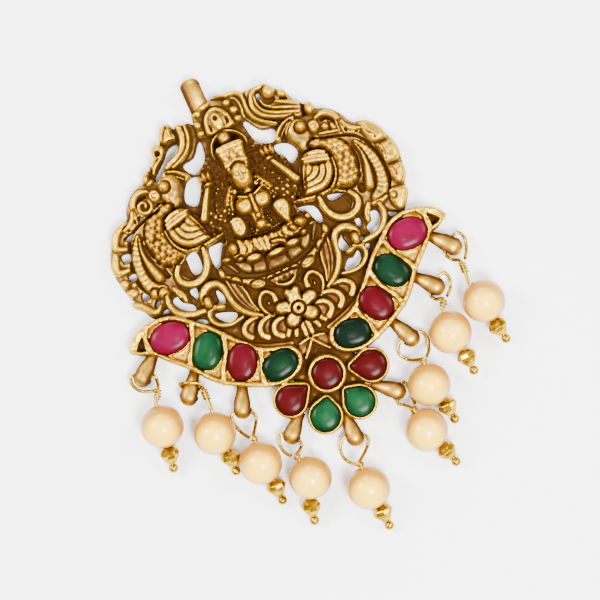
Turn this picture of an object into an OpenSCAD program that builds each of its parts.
// Braid ornament in temple style, lying on its back.
// +Z points up out of the relief, +Y to the arch. The origin is the middle of the leafwork's
// five-petal flower, on the back plane. Millimetres.

/* [Jewel] */
// Width across the two tips of the crescent
jewel_w = 48.6; // [46:0.1:52]
// Height from the rim of the lowest petals to the top of the arch
jewel_h = 50; // [48:0.1:53]

/* [Casting] */
// Thickness of the pierced web
web_t = 1.2; // [0.9:0.1:1.6]
// Top of the scroll ridges above the back
scroll_top = 2.5; // [2:0.1:3]
// Width of a main scroll ridge
scroll_w = 0.85; // [0.7:0.05:1]
// Width of a thin leaf ridge
leaf_w = 0.55; // [0.4:0.05:0.7]
// Top of the peacocks' bodies above the back
bird_top = 3.8; // [3.2:0.1:4.4]
// Top of the seated figure's trunk above the back
trunk_top = 4.2; // [3.8:0.1:4.8]
// Length of the head from chin to hairline
head_l = 4; // [3.6:0.1:4.4]
// Width of the head
head_w = 2.8; // [2.5:0.1:3.1]
// Length of the crown above the hairline
crown_l = 2.7; // [2.2:0.1:3.2]
// Thickness of an arm
arm_d = 0.8; // [0.6:0.05:1]

/* [Stone settings] */
// Thickness of the crescent's floor plate
crescent_t = 2; // [1.7:0.1:2.4]
// Top of the crescent's cell walls above the back
wall_top = 2.8; // [2.5:0.1:3.2]
// Width of a cell wall
wall_w = 0.7; // [0.5:0.05:0.9]
// Bottom of the stone pockets above the back
pocket_floor = 0.9; // [0.6:0.1:1.2]
// Top of the crescent's cabochons above the back
stone_top = 3.2; // [3:0.1:3.6]
// Rise of a cabochon's dome above its girdle
dome_rise = 0.7; // [0.4:0.05:0.9]
// Clearance round a stone in its pocket
stone_gap = 0.06; // [0.04:0.01:0.1]
// Diameter of the flower's round centre stone
center_d = 4.2; // [3.8:0.1:4.5]
// Width of the bezel round the centre stone
center_rim = 0.62; // [0.45:0.05:0.75]
// Top of the centre bezel above the back
center_top = 3.7; // [3.3:0.1:4.2]
// Width of a petal stone at its round end
petal_d = 4.1; // [3.7:0.1:4.4]
// Width of a petal stone's narrow end
petal_tip_d = 0.8; // [0.5:0.1:1.2]
// Width of the bezel round a petal stone
petal_rim = 0.5; // [0.35:0.05:0.6]

/* [Hooks and bail] */
// Width of a hook's folded strap
hook_w = 2.1; // [1.8:0.1:2.4]
// Height of a hook above the back
hook_h = 2.7; // [2.4:0.1:3.1]
// Thickness of the hooks' strap
hook_t = 0.55; // [0.45:0.05:0.65]
// Width of the bail's strap
bail_w = 2.7; // [2.3:0.1:3.1]
// Thickness of the bail's strap
bail_t = 0.5; // [0.4:0.05:0.7]
// Height of the bail's loop above the back
bail_h = 2.3; // [2:0.1:2.6]
// Reach of the bail above the arch
bail_reach = 4; // [3:0.1:5]

/* [Drops] */
// Diameter of a pearl
pearl_d = 6; // [5.6:0.05:6.1]
// Diameter of the pin wire
wire_d = 0.5; // [0.4:0.05:0.55]
// Clearance round the wire in a drilled bead
bore_gap = 0.06; // [0.04:0.01:0.1]
// Diameter of a cut bead
bead_d = 2.9; // [2.5:0.1:3]
// Length of a cut bead along its pin
bead_l = 2.4; // [2.1:0.1:2.6]
// Clearance between the pieces threaded on a pin
thread_gap = 0.08; // [0.05:0.01:0.15]
// Diameter of a pin's ball end
ball_d = 1.35; // [1.1:0.05:1.5]

/* [Hidden] */
DROPS = [1:9];
STONES = ["pink", "green_outer", "ruby", "green_inner"];
SIDES = ["left", "right"];

GOLD = "goldenrod";
LEFT = -1;
RIGHT = 1;
BOTH = [LEFT, RIGHT];

// Places below are steps of a drawing grid: GRID_W steps span the jewel's width and GRID_H
// steps its height, counted from the origin.
GRID_W = 48.6;
GRID_H = 50;
step_x = jewel_w / GRID_W;
step_y = jewel_h / GRID_H;
arch_y = 32;

// Top of the backing behind the figure, between the web and the scrolls
back_top = web_t + 0.5 * (scroll_top - web_t);
// Raised forms reach this far into the metal that carries them
root = 0.13;
web_foot = web_t - root;
back_foot = back_top - root;

function at(p) = [p[0] * step_x, p[1] * step_y];
function on_side(pts, side) = [for (p = pts) at([side * p[0], p[1]])];
function unit(v) = v / norm(v);
function turned(p, a) = [p[0] * cos(a) - p[1] * sin(a), p[0] * sin(a) + p[1] * cos(a)];

// A smooth line through pts, with n pieces between neighbours.
function pick(pts, i) = pts[max(0, min(len(pts) - 1, i))];
function bend(a, b, c, d, t) =
    b + t / 2 * (c - a) + t * t * (a - 2.5 * b + 2 * c - d / 2)
    + t * t * t * (1.5 * (b - c) + (d - a) / 2);
function smooth(pts, n) = concat(
    [for (i = [0:len(pts) - 2]) for (k = [0:n - 1])
        bend(pick(pts, i - 1), pts[i], pts[i + 1], pick(pts, i + 2), k / n)],
    [pts[len(pts) - 1]]);
function heading(pts, i) = unit(pick(pts, i + 1) - pick(pts, i - 1));

// A skin over rings that all have the same number of points.
module skin(rings) {
    n = len(rings[0]);
    last = len(rings) - 1;
    polyhedron(
        points = [for (ring = rings) for (p = ring) p],
        faces = concat(
            [[for (k = [n - 1:-1:0]) k]],
            [[for (k = [0:n - 1]) last * n + k]],
            [for (i = [0:last - 1]) for (k = [0:n - 1])
                [i * n + k, i * n + (k + 1) % n, (i + 1) * n + k]],
            [for (i = [0:last - 1]) for (k = [0:n - 1])
                [i * n + (k + 1) % n, (i + 1) * n + (k + 1) % n, (i + 1) * n + k]]));
}

// Cross-sections of a broad ridge and of a sharp one: columns are share of the half width,
// share of the height.
RIDGE = [[-1, 0], [-0.5, 1], [0.5, 1], [1, 0]];
FIN = [[-1, 0], [0, 1], [1, 0]];

// A raised ridge along a line in plan, w0 wide at its start and w1 at its end.
module ridge(line, w0, w1, top, foot = web_foot, section = RIDGE) {
    last = len(line) - 1;
    skin([for (i = [0:last])
        let (d = heading(line, i), half = (w0 + (w1 - w0) * i / last) / 2)
        [for (s = section) [
            line[i][0] - d[1] * half * s[0],
            line[i][1] + d[0] * half * s[0],
            foot + (top - foot) * s[1]]]]);
}

// Outlines of a large dome and of a bud: columns are share of the radius, share of the height.
DOME = [[0, 0], [1, 0], [0.93, 0.4], [0.66, 0.78], [0, 1]];
BUD = [[0, 0], [1, 0], [0.72, 0.72], [0, 1]];

module dome(place, rx, ry, top, turn = 0, foot = web_foot, sides = 8, outline = BUD) {
    translate([place[0], place[1], foot]) rotate(turn) scale([rx, ry, top - foot])
        rotate_extrude($fn = sides) polygon(outline);
}

module slab(points, top, foot = 0) {
    translate([0, 0, foot]) linear_extrude(top - foot) polygon(points);
}

// A tube through points in space. Its rings are turned by TILT, a way that no wire runs.
TILT = unit([0.13, 0.21, 0.97]);
module tube(line, d, sides) {
    skin([for (i = [0:len(line) - 1])
        let (t = heading(line, i), u = unit(cross(t, TILT)), v = cross(t, u))
        [for (k = [0:sides - 1]) let (a = 360 * k / sides)
            line[i] - d / 2 * (u * cos(a) - v * sin(a))]]);
}

// Outline of the web above the crescent, right half from the top down, then the left half.
WEB_RIGHT = [
    [0.4, 32], [3, 31.9], [4.9, 31.2], [6.9, 31.3], [8.4, 30.7], [10.6, 28.6], [11.1, 27.4],
    [11.8, 26.4], [12.9, 26.1], [13.6, 24.9], [15.5, 23.9], [16.8, 22.2], [17.2, 21.3],
    [18.2, 20.8], [19.4, 20.5], [20.4, 19.1], [21.6, 16.5], [21.9, 15], [21.4, 11.8],
    [20.7, 10.2], [20.7, 9.2], [19.3, 6.8], [17.5, 5.5], [13.5, 3], [11, 0], [8, -3], [3, -5],
    [0, -8]];
WEB_LEFT = [
    [-3, -5], [-8, -3], [-11, 0], [-13.5, 3], [-17.5, 5.5], [-18.9, 6.9], [-20.9, 9.3],
    [-20.6, 10.1], [-21.6, 13], [-21.8, 14.2], [-21.2, 16.5], [-19.1, 20.1], [-18.4, 20.7],
    [-16.4, 21.1], [-15.2, 23.2], [-14.2, 24], [-12.1, 24.8], [-10.6, 27.2], [-8.8, 29],
    [-7.9, 30.9], [-7.2, 31.4], [-6.4, 31.1], [-6, 30.3], [-4, 30.3], [-3.2, 29.8],
    [-2.7, 30.9], [-1.4, 31.6], [-0.5, 31.9]];

// Gaps cut right through the web, on the right and on the left.
GAPS_RIGHT = [
    [[3.3, 27], [3.8, 27.3], [4.5, 26.2], [5.4, 25.2], [7, 24.7], [6.4, 23], [4.2, 23.7],
        [3.6, 25.2]],
    [[6.1, 22.5], [7.9, 22.1], [8.8, 20.3], [7.4, 19.1], [6.9, 20.3], [6.1, 21.2]],
    [[6.5, 29.3], [6.6, 30.2], [7.1, 30.2], [7.1, 29.2]],
    [[10.2, 13], [12.3, 12.4], [11.2, 12], [10.2, 12.2]],
    [[5.6, 13.1], [7.8, 12.4], [8.2, 10.2], [7.4, 10], [6.6, 12], [5.9, 12.4]],
    [[8.9, 4.9], [8.7, 6], [9.8, 7.2], [9.6, 6.5], [10, 5.1]],
    [[8.1, 2.3], [9.2, 3.6], [9.9, 3.5], [10.9, 4.2], [10.9, 3], [9.6, 2.1]],
    [[12.2, 8.2], [12.9, 8.3], [12.9, 7.4], [12.4, 7]],
    [[14.6, 8.4], [15.5, 8.3], [15.7, 7.2], [14.9, 6], [13.6, 5.5], [13.4, 6.7], [14.4, 7.3]],
    [[17, 7.4], [18.2, 6.9], [17.6, 6.6], [17, 6.7]],
    [[12, 3.8], [12.2, 4.5], [12.8, 4.4], [12.6, 3.8]],
    [[11.7, 5.3], [12.1, 5.8], [12.4, 5.6], [12.2, 5.1]]];
GAPS_LEFT = [
    [[-6.9, 25], [-5, 25.5], [-3.6, 27.2], [-3.2, 26.8], [-3.5, 25], [-4.2, 24], [-6, 23.2]],
    [[-7.4, 22.6], [-5.7, 22.9], [-5.7, 21.2], [-7.3, 19], [-8.6, 20.2]],
    [[-7.8, 28.1], [-6.4, 28.2], [-6.8, 27], [-8.6, 26.3], [-10.6, 24.3], [-11.2, 24.9],
        [-9, 26.9]],
    [[-8.3, 12.6], [-7.5, 13], [-6, 12.8], [-6.8, 11.6], [-7.7, 9.9], [-8.4, 10]],
    [[-11.5, 13], [-10.1, 13.2], [-10, 11], [-10.6, 10.2], [-11.6, 10.3], [-11.7, 12.2]],
    [[-18.6, 18.7], [-16.9, 19.2], [-17.4, 18.5], [-18, 18.2]],
    [[-19.9, 15.5], [-19.9, 16.8], [-18.7, 16.6], [-19, 15.5]],
    [[-20.2, 13.7], [-19.1, 13.8], [-19.1, 12.9], [-19.8, 12.7]],
    [[-19.6, 9.8], [-19.2, 10.8], [-18.4, 9.9], [-18.9, 9.5]],
    [[-18.3, 8.2], [-17.9, 8.9], [-17.3, 8.8], [-17.7, 8.1]],
    [[-17.9, 7], [-17.2, 7.4], [-16.8, 7.2], [-16.9, 6.7]],
    [[-15.8, 8], [-15, 8.4], [-14.6, 7.3], [-13.3, 6.4], [-13.4, 5.5], [-15.2, 6.6]],
    [[-13.1, 8.4], [-12, 8.4], [-12.2, 7.2], [-12.6, 6.9]],
    [[-10.3, 5.2], [-9.8, 5.4], [-9.7, 6.8], [-9.3, 6.8], [-8.9, 5.6], [-9.2, 4.8]],
    [[-8.2, 2.6], [-8.7, 3.3], [-11, 4], [-10.7, 3], [-9.4, 2]],
    [[-13.9, 4], [-13.6, 4.3], [-12.6, 3.8], [-12.4, 3.3], [-13.2, 3.2]]];

// Scroll ridges: columns are sides, start width and end width as shares of scroll_w, points.
SCROLLS = [
    [[RIGHT], 1, 0.8, [[1, 31.5], [3, 31.4], [4.3, 31.1], [4.7, 30], [4.6, 28.5], [5, 27],
        [6.2, 25.9], [8, 25.1], [10, 24.8]]],
    [[RIGHT], 0.9, 0.7, [[8.2, 30.7], [6.6, 30.6], [5.8, 29.8], [5.4, 28.6], [5.8, 27.4],
        [7.1, 26.4], [9, 25.6], [11.3, 25.2]]],
    [[RIGHT], 0.6, 0.5, [[3.1, 30.6], [3.9, 30], [4, 28.4], [3.9, 27.6]]],
    [[RIGHT], 0.8, 0.8, [[9.6, 28.6], [9.2, 27.4], [10.2, 26.4], [11.6, 25.4]]],
    [[LEFT], 1, 0.8, [[5.2, 30], [5.1, 28.8], [5.6, 27.4], [6.8, 26.3], [8.6, 25.4], [10, 24.3]]],
    [[LEFT], 0.8, 0.7, [[4.2, 30], [4.2, 28.6], [4.7, 27.2], [5.8, 26], [7.2, 25.1], [8.6, 24.4]]],
    [[LEFT], 1, 0.9, [[8.6, 28.9], [9.5, 28.2], [10.4, 26.8], [11.3, 25.6], [12.2, 24.7]]],
    [BOTH, 0.9, 0.7, [[12.9, 23.4], [14.5, 23.8], [15.6, 23.2], [15.8, 22.1], [15.2, 20.9]]],
    [BOTH, 0.9, 0.9, [[8.9, 12.9], [9.1, 11.2], [9.9, 9.6], [11.3, 8.9], [12.9, 9],
        [13.8, 10], [13.7, 11.2], [13, 11.8]]],
    [BOTH, 1.1, 0.8, [[11.3, 5.9], [11.5, 6.9], [10.9, 7.6], [10, 7.9], [9, 7.6], [8.4, 6.8],
        [8.2, 5.4], [7.9, 4], [7.3, 2.9], [6.4, 1.9], [5, 1.1]]],
    [BOTH, 0.9, 0.6, [[10.2, 4.7], [11.2, 4.7], [11.7, 3.9], [11.5, 2.9], [10.6, 2], [9.2, 1.7],
        [7.6, 1.9]]],
    [BOTH, 0.8, 0.8, [[16.1, 8.6], [16.3, 7.5], [15.9, 6.4], [15, 5.5], [13.8, 5], [12.2, 4.9]]],
    [BOTH, 1.6, 1.3, [[16.8, 18.2], [17.6, 16.5], [18.2, 14.5], [18.3, 12.5], [18, 11],
        [17.2, 9.6], [16.2, 8.7]]],
    [BOTH, 0.7, 0.8, [[16.2, 17.5], [16.9, 14.8], [16.9, 12.8], [16.3, 11.2]]],
    [BOTH, 1, 0.6, [[14.6, 9.3], [14.3, 8.2], [13.9, 7.3]]]];

// Thin leaf ridges: columns are start width and end width as shares of leaf_w, points.
LEAVES = [
    [1, 0.8, [[2.4, 2.6], [2.7, 3.6], [3.4, 4], [4.2, 3.6], [4.7, 2.6], [4.5, 1.4], [3.4, 0.3]]],
    [1, 1.1, [[2.6, -0.2], [3.5, -0.4], [4.2, -1.1], [4.2, -2.2], [3.5, -2.7]]],
    [1, 1.1, [[4.1, 0.5], [5.2, 0.3], [6, -0.5], [6, -1.6], [5.4, -2.1]]],
    [1, 1.1, [[6, 1.1], [7.3, 0.9], [8.1, 0.2], [8.1, -0.7], [7.5, -1.2]]],
    [1, 0.8, [[6.2, 6], [5.8, 4.8], [5.7, 3.6], [5.1, 2]]],
    [1, 0.8, [[7.3, 7.2], [6.9, 5.4], [6.8, 4], [6, 2.3]]],
    [1, 0.8, [[0.3, -2.3], [0.35, -3.8]]],
    [1, 0.8, [[1, -2.3], [1.5, -3.5]]],
    [1, 0.8, [[1.7, -2.1], [2.4, -3.1]]],
    [1, 0.7, [[0.2, -4.7], [0.7, -5.9], [1.7, -7]]],
    [1, 0.7, [[0.5, -4.6], [1.5, -4.6], [2, -5.4], [1.8, -6.3]]],
    [0.9, 0.9, [[12.1, 18.8], [12.4, 17], [12.1, 15], [11.2, 13.6]]],
    [1.2, 0.8, [[15.9, 21.3], [16.9, 20.4], [17.9, 19.3]]],
    [1.2, 0.8, [[14.2, 20.6], [15.6, 19.8], [16.5, 18.8]]],
    [0.9, 0.9, [[10, -0.2], [8.6, -1.9], [6.4, -3.1], [2.8, -4.3]]]];

// Bosses and buds: columns are sides, middle, half width, half height, turn, top as a share
// of the way from the web to scroll_top.
BUDS = [
    [[RIGHT], [8.2, 29.5], 0.95, 0.95, 0, 1.1],
    [[RIGHT], [10, 28.5], 0.6, 0.8, 30, 1],
    [[RIGHT], [12.5, 25.3], 0.8, 0.8, 0, 1],
    [[LEFT], [7.4, 29.9], 1, 1.4, 15, 1.1],
    [BOTH, [12.1, 22.6], 0.9, 0.9, 0, 1.1],
    [BOTH, [14.1, 22], 0.9, 1, 0, 1.1],
    [BOTH, [11.2, 5.7], 0.65, 1, 15, 1.1],
    [BOTH, [9.9, 4.4], 0.8, 0.4, 20, 1],
    [BOTH, [16.3, 11.2], 0.6, 0.8, 0, 1],
    [BOTH, [11.2, 10.7], 0.8, 1.2, -30, 0.8],
    [BOTH, [19, 19.2], 1.3, 1.2, -45, 0.9],
    [BOTH, [20.4, 15.6], 1.2, 1.5, 0, 0.9],
    [BOTH, [20.4, 12.2], 1, 1.2, 20, 0.9],
    [BOTH, [19.5, 8.9], 1.1, 1.2, 40, 0.9],
    [BOTH, [2.5, 30.5], 0.55, 0.5, 0, 1],
    [BOTH, [2.7, 29.2], 0.5, 0.5, 0, 0.9],
    [BOTH, [2.8, 27.9], 0.5, 0.5, 0, 0.9],
    [[LEFT], [0.8, 31.3], 0.8, 0.5, 0, 1]];

module web() {
    linear_extrude(web_t) difference() {
        polygon([for (p = concat(WEB_RIGHT, WEB_LEFT)) at(p)]);
        for (gap = concat(GAPS_RIGHT, GAPS_LEFT)) polygon([for (p = gap) at(p)]);
    }
}

module scrollwork() {
    for (row = SCROLLS) for (side = row[0])
        ridge(on_side(row[3], side), row[1] * scroll_w, row[2] * scroll_w, scroll_top,
            section = row[1] < 1 ? FIN : RIDGE);
    for (row = LEAVES) for (side = BOTH)
        ridge(on_side(row[2], side), row[0] * leaf_w, row[1] * leaf_w,
            web_t + 0.75 * (scroll_top - web_t), section = FIN);
    for (row = BUDS) for (side = row[0])
        dome(at([side * row[1][0], row[1][1]]), row[2], row[3],
            web_t + row[5] * (scroll_top - web_t), side * row[4], sides = 6);
}

// Horseshoe boss at the top of the arch, and the halo's arc under it
BOSS = [[-1.8, 27.3], [-1.9, 28.6], [-1.4, 30], [0.1, 30.8], [1.6, 30], [2.1, 28.6], [2, 27.3]];
HALO = [[-2.3, 23.9], [-2, 25.6], [-1, 26.6], [0.2, 26.9], [1.4, 26.6], [2.4, 25.6], [2.7, 23.9]];

module boss() {
    ridge([for (p = BOSS) at(p)], 0.7 * scroll_w, 0.7 * scroll_w, 1.1 * scroll_top);
    dome(at([0.05, 28.6]), 1.1, 1.4, 1.15 * scroll_top);
    ridge([for (p = HALO) at(p)], leaf_w, leaf_w, scroll_top);
    dome(at([0.1, 26]), 0.9, 0.8, 1.1 * scroll_top);
}

// Five round petals and a ringed centre at the origin: columns are middle, half width,
// half height.
ROSE = [[[0, 2], 1, 0.9], [[-2, 0.9], 0.95, 0.8], [[2, 0.9], 0.95, 0.8], [[-1.1, -1.1], 1.1, 1.1],
    [[1.1, -1.1], 1.1, 1.1]];

rose_r = 0.85;

module rose() {
    for (petal = ROSE) dome(at(petal[0]), petal[1], petal[2], scroll_top);
    cylinder(r = rose_r, h = 1.12 * scroll_top, $fn = 10);
}

// Peacock: neck line, beak line and wing
NECK = [[10.2, 22.8], [9.4, 21.6], [9.5, 20.2], [10.6, 18.6]];
BEAK = [[9.6, 24], [8.4, 24.1], [7.6, 23.4], [7.3, 22.7]];

module peacock(side) {
    ridge(on_side(NECK, side), 1.6, 2.6, 0.9 * bird_top);
    ridge(on_side(BEAK, side), 1.3, 0.5, 0.8 * bird_top);
    dome(at([side * 10.3, 22.9]), 1.3, 1.3, 0.85 * bird_top);
    dome(at([side * 10.4, 23.1]), 0.7, 0.7, bird_top, sides = 6);
    dome(at([side * 13.2, 16.6]), 2.5, 3.7, 0.9 * bird_top, side * 8, outline = DOME);
    dome(at([side * 10.1, 16.2]), 2.2, 3, bird_top, side * 12, outline = DOME);
    ridge(on_side([[9.6, 14.4], [7.8, 13.9], [6, 13.5]], side), 1.6, 0.6, 0.7 * bird_top);
}

// Backing behind the figure
BACKING = [[3.2, 24.8], [4, 23.7], [5.7, 22.9], [5.7, 21.2], [6.9, 19], [7.3, 16.5], [6, 14.5],
    [5.4, 13.2], [5.8, 12.2], [6.8, 10.4], [7.7, 9], [6.3, 7], [4, 5.4], [1.6, 4], [0.6, 3.4]];

// Middle of the head in plan, and its height
head_at = at([0.15, 20.3]);
head_z = trunk_top - 0.6;

module head() {
    // Calm, plain head on the usual proportions, the nose reaching to its lower third
    crown_y = head_at[1] + head_l / 2 - 0.3;
    translate([head_at[0], head_at[1], head_z]) {
        scale([head_w / 2, head_l / 2, head_w * 0.58]) sphere(1, $fn = 10);
        translate([0, -head_l * 0.07, head_w * 0.56]) hull() {
            translate([0, head_l * 0.1, -0.15]) sphere(d = 0.3, $fn = 5);
            translate([0, -head_l * 0.08, 0]) sphere(d = 0.5, $fn = 5);
        }
    }
    hull() for (row = [[0, 1.15, 0.3], [0.3, 1.25, 0.5], [0.9, 1.1, 0.4]])
        translate([head_at[0], crown_y + row[0] * crown_l, back_foot])
            cylinder(d = row[1] * head_w, h = head_z - back_foot + row[2], $fn = 8);
}

// Arms: columns are shoulder or elbow, elbow or wrist, widths there as shares of arm_d, and
// depth of the top below the trunk's.
ARMS = [
    [[2.8, 17.6], [6.9, 16.8], 1.2, 1.1, 1.1],
    [[7.1, 16.4], [4.75, 20.8], 1, 0.8, 0.4],
    [[3, 17.4], [5, 15.5], 1.2, 1.1, 0.9],
    [[5, 15.7], [3.5, 13.9], 1.1, 1, 0.5]];

module arm(row, side) {
    ridge(on_side([row[0], row[1]], side), row[2] * arm_d, row[3] * arm_d, trunk_top - row[4],
        back_foot);
}

// Hand with its palm to the front and its fingers up, or down where reach is below 0
module hand(palm, half_w, half_l, reach, top) {
    dome(palm, half_w, half_l, top, foot = back_foot);
    for (k = [-1:1]) ridge([palm + [0.6 * k * half_w, 0], palm + [0.6 * k * half_w, reach]],
        0.6 * half_w, 0.5 * half_w, top - 0.2, back_foot, FIN);
}

module trunk() {
    hull() {
        for (side = BOTH) translate([side * 2.3, 17.2 * step_y, trunk_top - 1.4])
            sphere(d = 1.8, $fn = 6);
        translate([0, 14.6 * step_y, trunk_top - 1.6]) sphere(d = 2, $fn = 6);
    }
    ridge([at([0, 18.2]), at([0, 16.5])], 1.1, 1.4, trunk_top - 0.6, back_foot);
    for (side = BOTH) dome(at([0.15 + side * 1.25, 15.9]), 0.95, 0.95, trunk_top + 0.2,
        foot = back_foot);
    dome(at([0, 12.9]), 1.1, 1.1, trunk_top - 0.4, foot = back_foot);
}

// Folds of the skirt over the crossed legs: columns are top and foot of each fold
FOLDS = [[[-3.6, 11.3], [-4.2, 9.6]], [[-2.2, 11], [-2.5, 9.6]], [[-0.8, 10.8], [-0.9, 9.2]],
    [[0.6, 10.7], [1.2, 9.4]], [[2.2, 10.9], [2.6, 9.5]], [[3.5, 11], [4.1, 9.8]]];
// Feet and the cushion's two ends: columns are middle, half width, half height
FEET = [[[-2.8, 8.9], 1.1, 0.55], [[0.3, 8.4], 1.3, 0.45], [[3, 8.6], 0.95, 0.5],
    [[-6.2, 10], 0.9, 0.5], [[6.2, 10], 0.8, 0.5]];

module legs() {
    for (side = BOTH) ridge(on_side([[5.4, 11], [2.6, 10.6], [0, 10]], side), 2, 1.4,
        trunk_top - 0.5, back_foot);
    for (fold = FOLDS) ridge([at(fold[0]), at(fold[1])], 0.8, 0.8, trunk_top - 0.1, back_foot,
        FIN);
    for (foot = FEET) dome(at(foot[0]), foot[1], foot[2], trunk_top - 0.3, foot = back_foot,
        sides = 6);
}

// Lotus under the figure: middles of its petals, and the curling leaf border below them
PETALS = [[-4.3, 8.1], [-2.4, 7.4], [0, 7.1], [2.6, 7.4], [4.5, 8.1]];
BORDER = [[7.7, 9.1], [6.9, 7.8], [5, 6.5], [4, 5], [2.4, 5.5], [0, 5.5]];
CUP = [[-2, 5.2], [-1.2, 4], [0, 3.5], [1.2, 4], [2, 5.2]];

module lotus() {
    for (p = PETALS) dome(at(p), 1.05, 1.15, trunk_top - 0.6, foot = back_foot);
    for (side = BOTH) {
        ridge(on_side(BORDER, side), scroll_w, scroll_w, 1.15 * scroll_top);
        dome(at([side * 4, 5.6]), 0.8, 0.5, 1.2 * scroll_top, side * 20, sides = 6);
        dome(at([side * 6.3, 7.4]), 0.6, 0.5, 1.1 * scroll_top, sides = 6);
    }
    ridge([for (p = CUP) at(p)], leaf_w, leaf_w, 1.1 * scroll_top, section = FIN);
}

module figure() {
    slab([for (p = BACKING) at(p), for (k = [len(BACKING) - 1:-1:0])
        at([-BACKING[k][0], BACKING[k][1]])], back_top);
    head();
    trunk();
    for (side = BOTH) {
        for (row = ARMS) arm(row, side);
        hand(at([side * 4.8, 21.7]), 0.8, 0.75, 1.1, trunk_top - 0.2);
        hand(at([side * 3.3, 13.7]), 1.05, 1.3, -side * 1.9, trunk_top - 0.1);
    }
    legs();
    lotus();
}

// Cells of the crescent's right half, each drawn along the middles of its walls, from the
// middle of the jewel to the empty one at the tip
CELLS = [
    [[3.1, -4.6], [5.2, -4], [7.2, -3.2], [7.6, -4.7], [8.2, -6.3], [8.5, -7.9], [6.8, -8.4],
        [5, -8.4], [3.1, -7.5], [2.5, -6]],
    [[7.2, -3.2], [9.2, -1.3], [11.1, 0.8], [11.7, -1.6], [12.9, -3.5], [13.6, -5.3],
        [11.2, -6.7], [8.5, -7.9], [8.2, -6.3], [7.6, -4.7]],
    [[11.1, 0.8], [12.6, 2.5], [14.5, 4.1], [15.6, 1], [16.6, -0.3], [17, -1.6], [15.2, -3.9],
        [13.6, -5.3], [12.9, -3.5], [11.7, -1.6]],
    [[14.5, 4.1], [16.4, 5.6], [18.4, 6.2], [20.6, 6], [21.3, 4.5], [21, 2.6], [19.6, 0.9],
        [17, -1.6], [16.6, -0.3], [15.6, 1]],
    [[20.6, 6], [22.4, 5.3], [23.7, 3.8], [22.4, 3], [21, 2.6], [21.3, 4.5]]];

// Stones of the crescent, from its tips inwards: columns are middle, half length, half width,
// turn, squareness
SEATS = [
    [[18.1, 3.4], 2.75, 2.25, 0, 2.5],
    [[14, -0.4], 2.6, 2, 118, 2.6],
    [[10.2, -3.75], 2.6, 2.1, 112, 2.6],
    [[5.5, -6.25], 2.5, 2.05, -14, 2.5]];

function power(v, e) = sign(v) * pow(abs(v), e);
function cushion(seat, side, grow = 0) = [for (a = [11.25:22.5:359])
    let (e = 2 / seat[4])
    turned([(seat[1] + grow) * power(cos(a), e), (seat[2] + grow) * power(sin(a), e)],
        side == RIGHT ? seat[3] : 180 - seat[3]) + at([side * seat[0][0], seat[0][1]])];

// Petal stones: columns are middle of the round end, middle of the narrow end
PETAL_CELLS = [[[6.15, -11.35], [3.7, -10.55]], [[2.6, -15.35], [1.6, -13.35]]];
flower_at = at([0, -10]);

// Outline round a large and a small circle
function drop_outline(big, small, big_r, small_r) =
    let (away = small - big, gap = norm(away), turn = atan2(away[1], away[0]),
        lean = acos((big_r - small_r) / gap))
    [for (k = [0:12]) let (a = turn + lean + (360 - 2 * lean) * k / 12)
        big + big_r * [cos(a), sin(a)],
     for (k = [0:2]) let (a = turn - lean + lean * k) small + small_r * [cos(a), sin(a)]];
function petal(cell, side, grow = 0) = drop_outline(
    at([side * cell[0][0], cell[0][1]]), at([side * cell[1][0], cell[1][1]]),
    petal_d / 2 + grow, petal_tip_d / 2 + grow);

module pocket(points) {
    slab(points, wall_top + center_top, pocket_floor);
}

// A cabochon: the outline's prism under a part of a large ball
module cabochon(points, middle, half, top) {
    ball_r = (half * half + dome_rise * dome_rise) / (2 * dome_rise);
    intersection() {
        slab(points, top, pocket_floor + stone_gap);
        translate([middle[0], middle[1], top - ball_r]) sphere(ball_r, $fn = 96);
    }
}

module crescent() {
    tip = len(CELLS) - 1;
    for (side = BOTH) difference() {
        linear_extrude(wall_top) offset(delta = wall_w / 2)
            for (cell = CELLS) polygon(on_side(cell, side));
        for (k = [0:tip]) translate([0, 0, k == tip ? web_t : crescent_t])
            linear_extrude(wall_top) offset(delta = -wall_w / 2) polygon(on_side(CELLS[k], side));
    }
}

module flower_settings() {
    translate([flower_at[0], flower_at[1], 0])
        cylinder(r = center_d / 2 + center_rim, h = center_top, $fn = 24);
    for (cell = PETAL_CELLS) for (side = BOTH)
        slab(petal(cell, side, petal_rim), wall_top);
    slab(on_side([[3, -4.5], [-3, -4.5], [-4.6, -8.2], [-4.4, -13], [-2, -16.6], [0, -17],
        [2, -16.6], [4.4, -13], [4.6, -8.2]], RIGHT), web_t);
}

// Hooks: columns are root, direction, length
HOOKS = [
    [[-21.2, 2.2], 221, 4.9], [[-17.1, -2.6], 234, 4.5], [[-11.6, -6.9], 247, 4.5],
    [[-6.1, -13.9], 226, 4], [[0, -16.6], 270, 4.3], [[5.6, -14.2], 321, 4.3],
    [[11.3, -7.1], 295, 4.6], [[16.7, -2.6], 312, 4.5], [[20.9, 1.9], 312, 4.9]];

module strap_loop(length, height, t, root_r) {
    // Side view of a folded strap: a fat round end and a narrow root
    r = height / 2;
    difference() {
        hull() {
            translate([length - r, r]) circle(r, $fn = 12);
            translate([-root_r, root_r]) circle(root_r, $fn = 6);
        }
        hull() {
            translate([length - r, r]) circle(r - t, $fn = 10);
            translate([0.35 * length, 0.8 * r]) circle((r - t) / 2, $fn = 6);
        }
    }
}

module hook(i) {
    length = HOOKS[i][2];
    translate(at(HOOKS[i][0])) rotate(HOOKS[i][1]) intersection() {
        rotate([90, 0, 0]) translate([0, 0, -hook_w]) linear_extrude(2 * hook_w)
            strap_loop(length, hook_h, hook_t, crescent_t / 3);
        linear_extrude(2 * hook_h) hull() {
            translate([length - 0.45 * hook_w, 0]) rotate(18) circle(d = hook_w, $fn = 10);
            circle(d = 0.7 * hook_w, $fn = 6);
        }
    }
}

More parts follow.
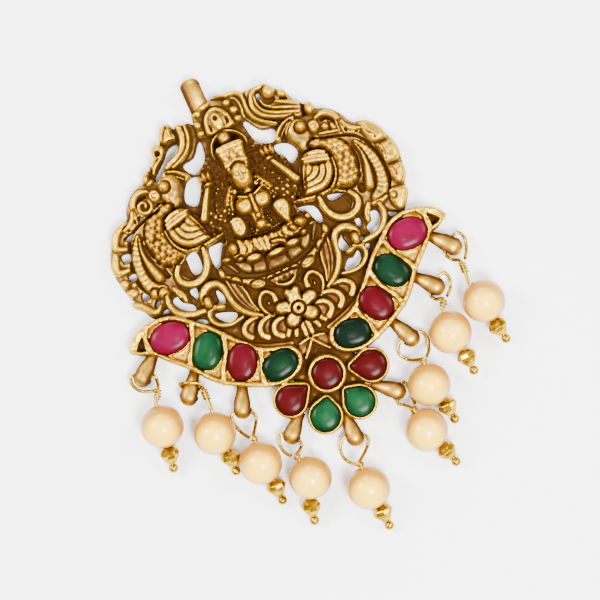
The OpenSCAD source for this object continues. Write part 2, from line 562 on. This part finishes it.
module bail() {
    root_y = arch_y * step_y - 1.2;
    length = bail_reach + 1.2;
    translate([-1.45, root_y, 0]) rotate(90) rotate([90, 0, 0]) translate([0, 0, -bail_w / 2])
        linear_extrude(bail_w) strap_loop(length, bail_h, bail_t, web_t / 2);
}

module gilt_body() {
    color(GOLD) difference() {
        union() {
            web();
            scrollwork();
            boss();
            rose();
            for (side = BOTH) peacock(side);
            figure();
            crescent();
            flower_settings();
            for (i = [0:len(HOOKS) - 1]) hook(i);
            bail();
        }
        for (side = BOTH) {
            for (seat = SEATS) pocket(cushion(seat, side, stone_gap));
            for (cell = PETAL_CELLS) pocket(petal(cell, side, stone_gap));
        }
        translate([flower_at[0], flower_at[1], pocket_floor])
            cylinder(r = center_d / 2 + stone_gap, h = center_top, $fn = 24);
        translate([0, 0, back_top]) cylinder(r = rose_r / 3, h = scroll_top, $fn = 8);
    }
}

STONE_COLORS = ["deeppink", "seagreen", "firebrick", "darkgreen"];
module crescent_stone(k, side) {
    color(STONE_COLORS[k]) cabochon(cushion(SEATS[k], side),
        at([side * SEATS[k][0][0], SEATS[k][0][1]]), SEATS[k][1], stone_top);
}

PETAL_COLORS = ["firebrick", "green"];
module petal_stone(k, side) {
    cell = PETAL_CELLS[k];
    color(PETAL_COLORS[k]) cabochon(petal(cell, side), at([side * cell[0][0], cell[0][1]]),
        petal_d / 2, stone_top);
}

module center_stone() {
    color("firebrick") intersection() {
        translate([flower_at[0], flower_at[1], pocket_floor + stone_gap])
            cylinder(d = center_d, h = center_top + dome_rise, $fn = 48);
        translate([flower_at[0], flower_at[1], center_top - 1.8 * center_d + 0.5 * dome_rise])
            sphere(1.8 * center_d, $fn = 96);
    }
}

// Drops: columns are pearl's middle, hang of the pin in plan, its dip, side step of the
// pearl from the pin, place where the loop closes
HANG = [
    [[-23.9, -7.5], 260, 16, 0, [-22.3, -2.4]],
    [[-17.6, -11.3], 267, 18, -0.8, [-16.6, -5]],
    [[-13.4, -17.6], 270, 17, -0.6, [-12.8, -13.8]],
    [[-7.9, -22.2], 260, 17, 0.9, [-8.5, -18.6]],
    [[-1.1, -26.7], 272, 16, -0.3, [-0.8, -22.9]],
    [[9.4, -22.6], 286, 14, -0.4, [8.9, -19.2]],
    [[12.3, -17], 276, 16, -0.8, [12.9, -13.5]],
    [[17.9, -11.6], 274, 8, -0.5, [18.9, -7]],
    [[23.9, -9.5], 281, 14, 0.3, [23.3, -3.3]]];
// The way of each pin's loop from its join through its hook and back: columns are way along
// the hook as a share of its length, way to its left as a share of hook_w, height as a share
// of hook_h.
LOOPS = [
    [[0.62, 0.95, 0.5], [0.55, 0.6, 0.48], [0.7, 0, 0.5], [0.8, -0.72, 0.5], [1, -0.52, 0.5],
        [1.1, 0.05, 0.5], [1.04, 0.6, 0.6]],
    [[0.42, 0.55, 0.48], [0.45, 0, 0.45], [0.45, -0.6, 0.5], [0.38, -0.75, 0.75],
        [0.31, -0.35, 1], [0.25, 0.15, 1], [0.24, 0.6, 0.9]],
    [[1.1, 0.88, 0.6], [0.85, 0.8, 0.5], [0.76, 0, 0.5], [0.85, -0.72, 0.5],
        [1.15, -0.55, 0.5], [1.4, -0.1, 0.7]],
    [[1, 0.85, 0.6], [0.8, 0.75, 0.5], [0.72, 0, 0.5], [0.78, -0.75, 0.5], [1.1, -0.55, 0.55],
        [1.3, -0.1, 0.7]],
    [[1.15, 0.45, 0.6], [0.85, 0.74, 0.5], [0.65, 0, 0.48], [0.55, -0.65, 0.45],
        [0.8, -1.15, 0.45], [1.15, -1.25, 0.5], [1.4, -0.95, 0.65]],
    [[1.05, -0.78, 0.6], [0.82, -0.75, 0.5], [0.72, 0, 0.5], [0.82, 0.7, 0.4],
        [1.1, 0.3, 0.3], [1.25, -0.2, 0.4]],
    [[1.1, -1.2, 0.5], [0.75, -1.3, 0.45], [0.55, -0.65, 0.45], [0.68, 0, 0.5],
        [0.8, 0.72, 0.5], [1.1, 0.7, 0.5], [1.35, 0.2, 0.65]],
    [[0.85, -0.8, 0.6], [0.65, -0.65, 0.5], [0.66, 0, 0.48], [0.64, 0.62, 0.5],
        [0.75, 1.05, 0.55], [0.97, 0.9, 0.55], [1.12, 0.3, 0.6]],
    [[0.88, -0.85, 0.6], [0.62, -0.68, 0.48], [0.64, 0, 0.48], [0.6, 0.6, 0.5],
        [0.68, 0.95, 0.5], [0.92, 0.85, 0.5], [1.1, 0.2, 0.65]]];
pearl_r = pearl_d / 2;
// Fall of the wire from the pearl to its loop, for each unit of way
neck_fall = 0.3;

function pearl_at(i) = [each at(HANG[i][0]), pearl_r];
function pin_dir(i) = let (a = HANG[i][1], b = HANG[i][2])
    [cos(a) * cos(b), sin(a) * cos(b), -sin(b)];
function across(a) = [-sin(a), cos(a), 0];
// Point of the pin beside the pearl's middle
function pin_mid(i) = pearl_at(i) - HANG[i][3] * across(HANG[i][1]);
function along_pin(i, s) = pin_mid(i) + s * pin_dir(i);
bead_from = pearl_r + thread_gap;
ball_from = bead_from + bead_l + thread_gap + ball_d / 2;

function in_hook(i, p) = [
    each at(HOOKS[i][0]) + turned([p[0] * HOOKS[i][2], p[1] * hook_w], HOOKS[i][1]),
    p[2] * hook_h];

function wire_route(i) = let (
    top = along_pin(i, -pearl_r - wire_d),
    join_xy = at(HANG[i][4]),
    flat = norm([top[0], top[1]] - join_xy),
    join = [each join_xy, top[2] - neck_fall * flat],
    way = [for (p = LOOPS[i]) in_hook(i, p)],
    last = way[len(way) - 1],
    closing = join + 1.4 * wire_d * unit(unit(last - join) - 0.6 * unit(way[0] - join)))
    concat(
        [for (s = [ball_from, bead_from + bead_l, bead_from, 0, -pearl_r]) along_pin(i, s)],
        smooth([top, join, each way, closing], 2));

module pin(i) {
    color("gold") {
        tube(wire_route(i), wire_d, 5);
        translate(along_pin(i, ball_from)) sphere(d = ball_d, $fn = 32);
    }
}

module bore(i, from, length) {
    translate(along_pin(i, from)) rotate([0, 90 + HANG[i][2], HANG[i][1]])
        cylinder(d = wire_d + 2 * bore_gap, h = length, $fn = 24);
}

module pearl(i) {
    color("wheat") difference() {
        translate(pearl_at(i)) sphere(pearl_r, $fn = 48);
        bore(i, -pearl_d, 2 * pearl_d);
    }
}

// Cut bead: columns are share of the length from the pearl, share of the radius
CUT = [[0, 0.6], [0.35, 1], [0.8, 0.65], [1, 0.42]];
module cut_bead(i) {
    hole_r = wire_d / 2 + bore_gap;
    color("gold") translate(along_pin(i, bead_from)) rotate([0, 90 + HANG[i][2], HANG[i][1]])
        rotate_extrude($fn = 8) polygon([[hole_r, 0],
            for (row = CUT) [row[1] * bead_d / 2, row[0] * bead_l], [hole_r, bead_l]]);
}

gilt_body();
for (k = [0:3]) for (s = [0, 1])
    crescent_stone(k, BOTH[s]);
center_stone();  // flower_stone_center
for (s = [0, 1]) {
    petal_stone(0, BOTH[s]);
    petal_stone(1, BOTH[s]);
}
for (i = DROPS) {
    pin(i - 1);
    pearl(i - 1);
    cut_bead(i - 1);
}
